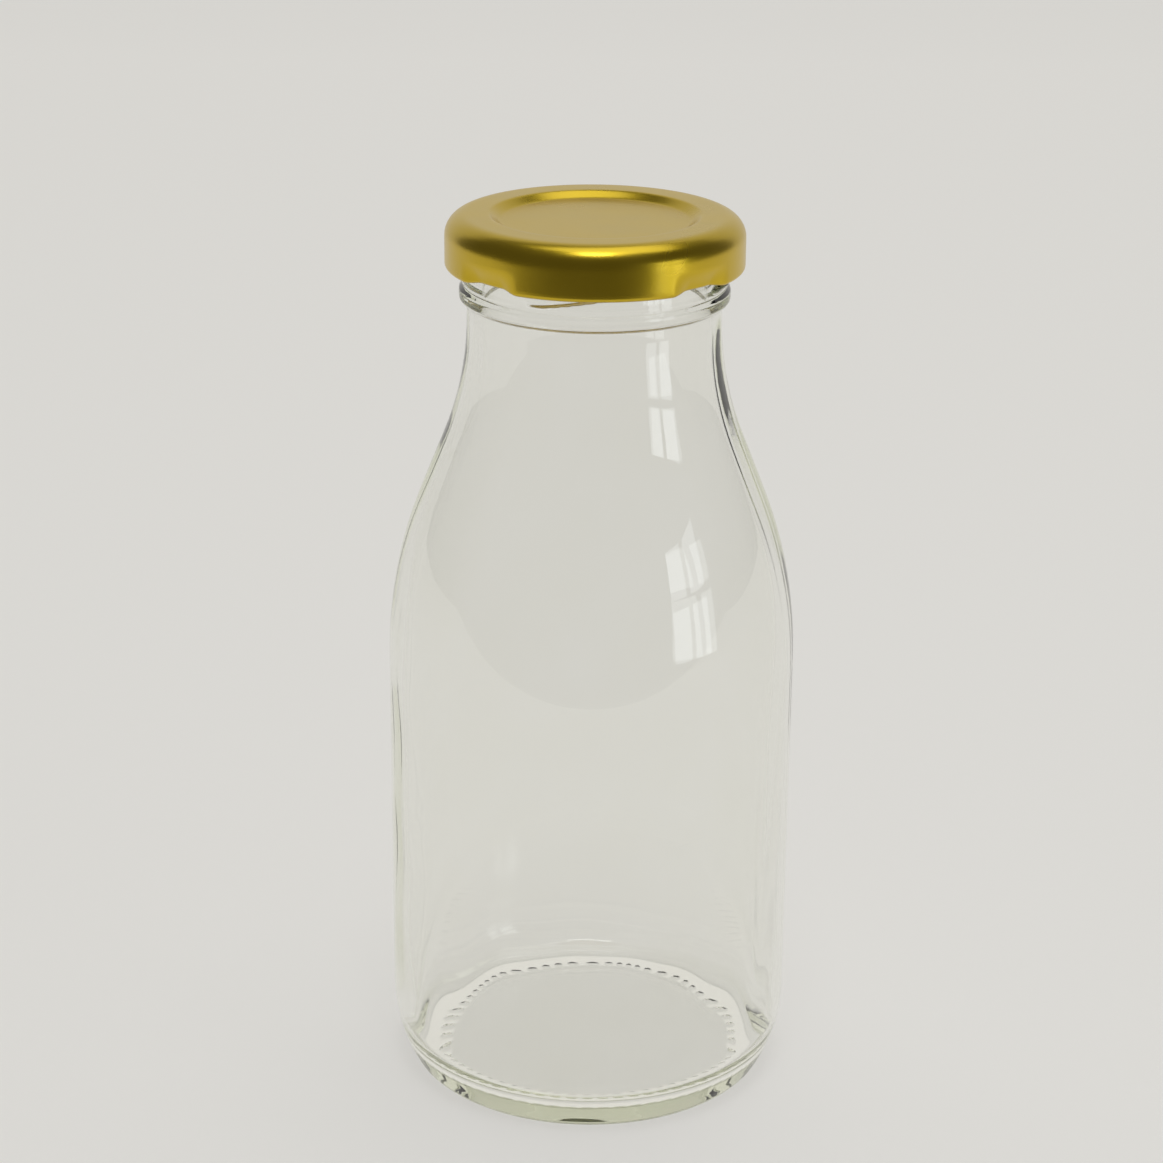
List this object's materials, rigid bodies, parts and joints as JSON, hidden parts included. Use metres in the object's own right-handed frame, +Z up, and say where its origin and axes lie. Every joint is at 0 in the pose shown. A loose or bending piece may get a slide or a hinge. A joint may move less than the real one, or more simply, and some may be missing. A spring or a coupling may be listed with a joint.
{
  "type": "glass milk bottle with twist-off lid",
  "caption": "Small clear glass milk bottle with a round shoulder, a short neck and a gold metal twist-off lid that unscrews.",
  "frame": {"origin": "centre of the ring the bottle stands on", "axes": "+Z up along the bottle's axis, towards the lid; -Y is the side shown in front; +X is to the right of it"},
  "size_m": [0.063, 0.063, 0.138],
  "materials": {
    "clear_glass": "gloss",
    "gold_tinplate": "satin",
    "sealing_compound": "matte"
  },
  "bodies": {
    "bottle": {"glass_bottle": "clear_glass"},
    "lid_lining": {"lid_seal": "sealing_compound"},
    "lid": {"lid_shell": "gold_tinplate"}
  },
  "joints": [
    {"name": "lid_lift", "type": "slide", "parent": "bottle", "child": "lid_lining", "axis": [0, 0, 1], "range_m": [0, 0.01]},
    {"name": "lid_twist", "type": "hinge", "parent": "lid_lining", "child": "lid", "pos_m": [0, 0, 0.1331], "axis": [0, 0, 1], "range_deg": [0, 180]}
  ],
  "couplings": [
    {"joint": "lid_lift", "follows": "lid_twist", "m_per_rad": 0.0031831}
  ]
}
